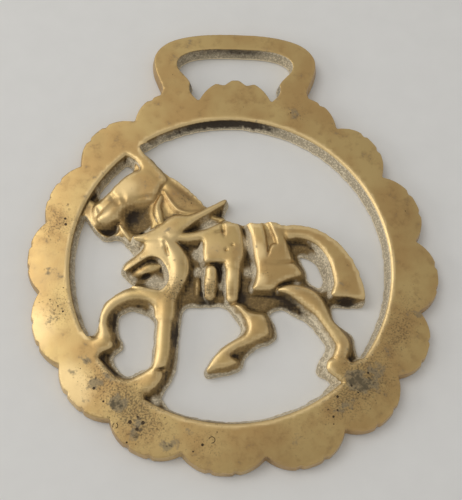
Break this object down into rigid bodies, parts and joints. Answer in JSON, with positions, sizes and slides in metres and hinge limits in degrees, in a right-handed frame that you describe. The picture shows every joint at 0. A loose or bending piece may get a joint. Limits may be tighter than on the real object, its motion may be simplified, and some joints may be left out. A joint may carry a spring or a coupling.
{
  "type": "horse brass",
  "caption": "Cast brass harness ornament: a harnessed horse pierced in a flat ring with a scalloped edge, under a slotted strap hanger.",
  "frame": {"origin": "middle of the outline's box, on the flat back", "axes": "+Z out of the front, +Y from the ring to the strap hanger, the horse faces -X"},
  "size_m": [0.075, 0.0866, 0.0034],
  "materials": {
    "brass": "worn yellow brass, polished by handling on the high spots, dark brown tarnish in the recesses, and pale rough cast skin on the low floors and on the openings' lower edges"
  },
  "bodies": {
    "root": {"horse_brass": "brass"}
  },
  "joints": []
}
